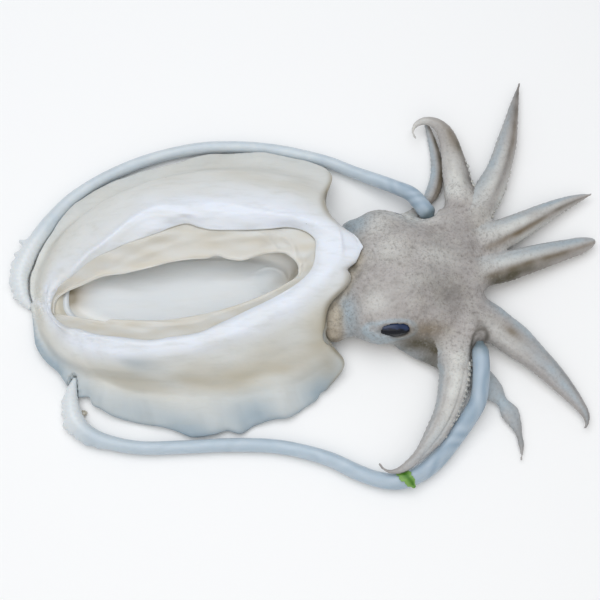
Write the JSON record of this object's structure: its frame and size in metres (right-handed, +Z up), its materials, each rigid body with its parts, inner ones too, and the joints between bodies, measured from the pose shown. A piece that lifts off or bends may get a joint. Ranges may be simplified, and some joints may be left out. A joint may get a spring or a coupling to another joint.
{
  "type": "raw cuttlefish",
  "caption": "Whole raw cuttlefish lying belly down, its back slit open and the cuttlebone out, with fins, arms and long feeding tentacles laid along its flanks.",
  "frame": {"origin": "middle of the overall box in plan, at the board that the belly rests on", "axes": "+X from the tail towards the head, +Y towards the far flank, +Z up"},
  "size_m": [0.3431, 0.254, 0.038],
  "materials": {
    "mantle_flesh": "wet, slightly translucent cream muscle, skinned",
    "membrane": "thin wet membrane, white with a blue cast",
    "speckled_skin": "damp grey-brown skin, finely speckled",
    "eye": "wet near-black cornea with a navy cast",
    "tentacle_skin": "wet translucent pale blue skin",
    "leaf_scrap": "scrap of soft green herb leaf, satin"
  },
  "bodies": {
    "root": {"mantle": "mantle_flesh", "shell_sac": "membrane", "head_and_arms": "speckled_skin", "eye_near": "eye", "eye_far": "eye", "tentacle_far": "tentacle_skin", "tentacle_near": "tentacle_skin"}
  },
  "joints": []
}
